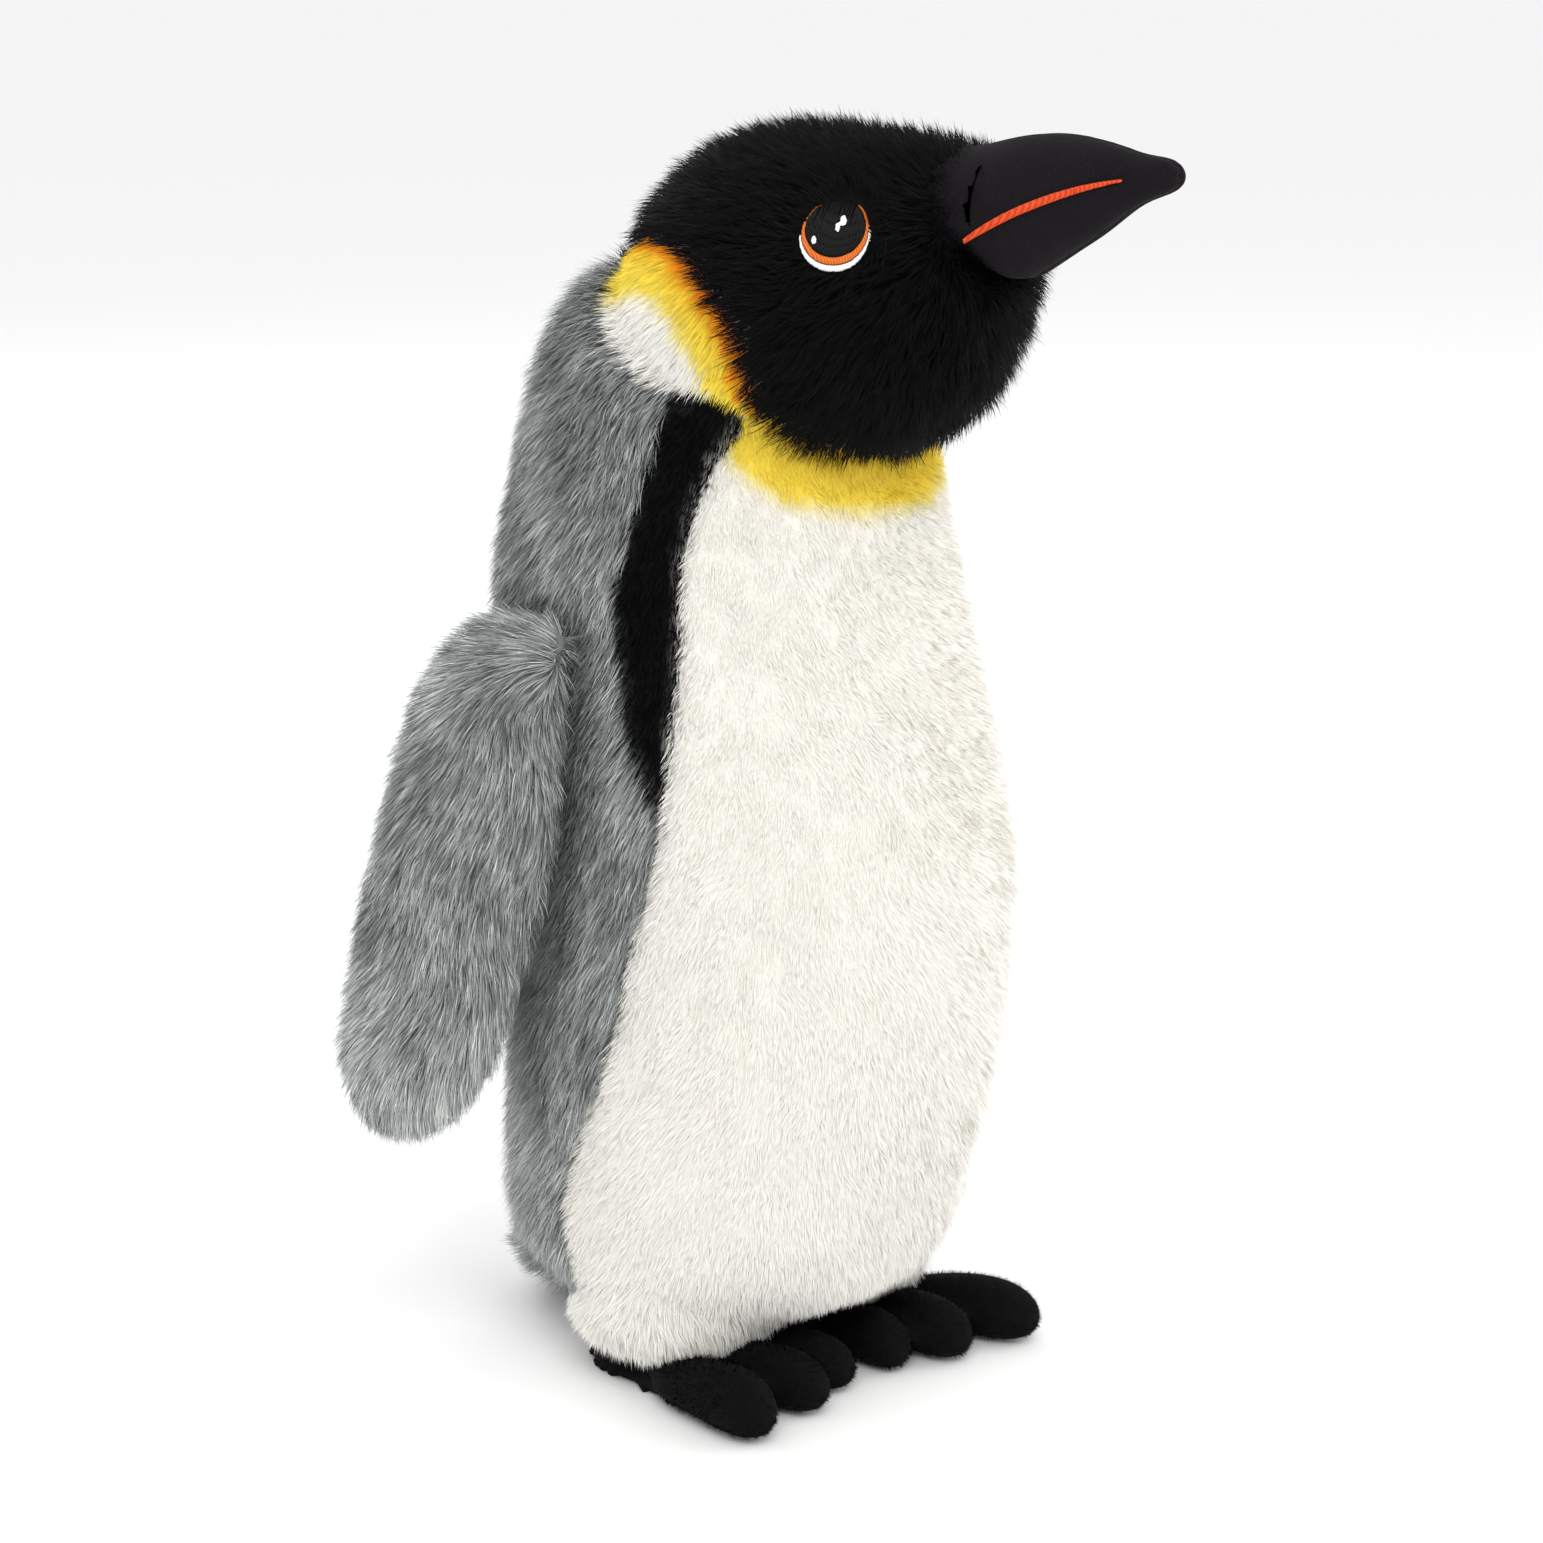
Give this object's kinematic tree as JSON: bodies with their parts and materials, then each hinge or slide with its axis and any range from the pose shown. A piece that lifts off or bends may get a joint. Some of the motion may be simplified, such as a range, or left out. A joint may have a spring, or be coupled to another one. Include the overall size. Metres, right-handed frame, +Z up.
{
  "type": "plush penguin",
  "caption": "Standing stuffed penguin with an upturned beak, long pile, two hanging flippers that lift at the shoulder, a tail stub and soft three-toed feet.",
  "frame": {"origin": "centre of the bounding box's footprint, on the floor", "axes": "+Z up, the penguin faces -Y, +X is its own left side"},
  "size_m": [0.1644, 0.2002, 0.2986],
  "materials": {
    "grey_pile": "heather grey combed pile",
    "white_pile": "dense warm white pile",
    "black_pile": "fluffy black pile",
    "yellow_pile": "white pile tinted yellow and orange",
    "beak_cloth": "smooth brushed charcoal cloth",
    "foot_velvet": "short black velvet",
    "orange_thread": "satin embroidery thread",
    "white_thread": "satin embroidery thread",
    "black_thread": "satin embroidery thread",
    "stuffing": "fibre filling",
    "pouch_cloth": "plain woven cloth",
    "beads": "small plastic beads, as one solid"
  },
  "bodies": {
    "torso": {"back_panel_left": "grey_pile", "back_panel_right": "grey_pile", "base_panel": "white_pile", "bead_filling": "beads", "bead_pouch": "pouch_cloth", "beak_panel_left": "beak_cloth", "beak_panel_right": "beak_cloth", "beak_stuffing": "stuffing", "belly_panel": "white_pile", "body_stuffing": "stuffing", "eye_glint_left": "white_thread", "eye_glint_right": "white_thread", "eye_iris_left": "orange_thread", "eye_iris_right": "orange_thread", "eye_pupil_left": "black_thread", "eye_pupil_right": "black_thread", "eye_white_left": "white_thread", "eye_white_right": "white_thread", "foot_sole_left": "foot_velvet", "foot_sole_right": "foot_velvet", "foot_stuffing_left": "stuffing", "foot_stuffing_right": "stuffing", "foot_upper_left": "foot_velvet", "foot_upper_right": "foot_velvet", "head_panel_left": "black_pile", "head_panel_right": "black_pile", "head_stuffing": "stuffing", "leg_cuff_left": "white_pile", "leg_cuff_right": "white_pile", "leg_stuffing_left": "stuffing", "leg_stuffing_right": "stuffing", "mouth_line_left": "orange_thread", "mouth_line_right": "orange_thread", "neck_patch_left": "yellow_pile", "neck_patch_right": "yellow_pile", "side_stripe_left": "black_pile", "side_stripe_right": "black_pile", "tail_lower": "grey_pile", "tail_stuffing": "stuffing", "tail_upper": "grey_pile"},
    "flipper_left": {"flipper_outer_left": "grey_pile", "flipper_inner_left": "grey_pile", "flipper_padding_left": "stuffing"},
    "flipper_right": {"flipper_outer_right": "grey_pile", "flipper_inner_right": "grey_pile", "flipper_padding_right": "stuffing"}
  },
  "joints": [
    {"name": "flipper_left", "type": "hinge", "parent": "torso", "child": "flipper_left", "pos_m": [0.0536, 0.04515, 0.186], "axis": [0, -1, 0], "range_deg": [-3, 75]},
    {"name": "flipper_right", "type": "hinge", "parent": "torso", "child": "flipper_right", "pos_m": [-0.0536, 0.04515, 0.186], "axis": [0, 1, 0], "range_deg": [-3, 75]}
  ]
}
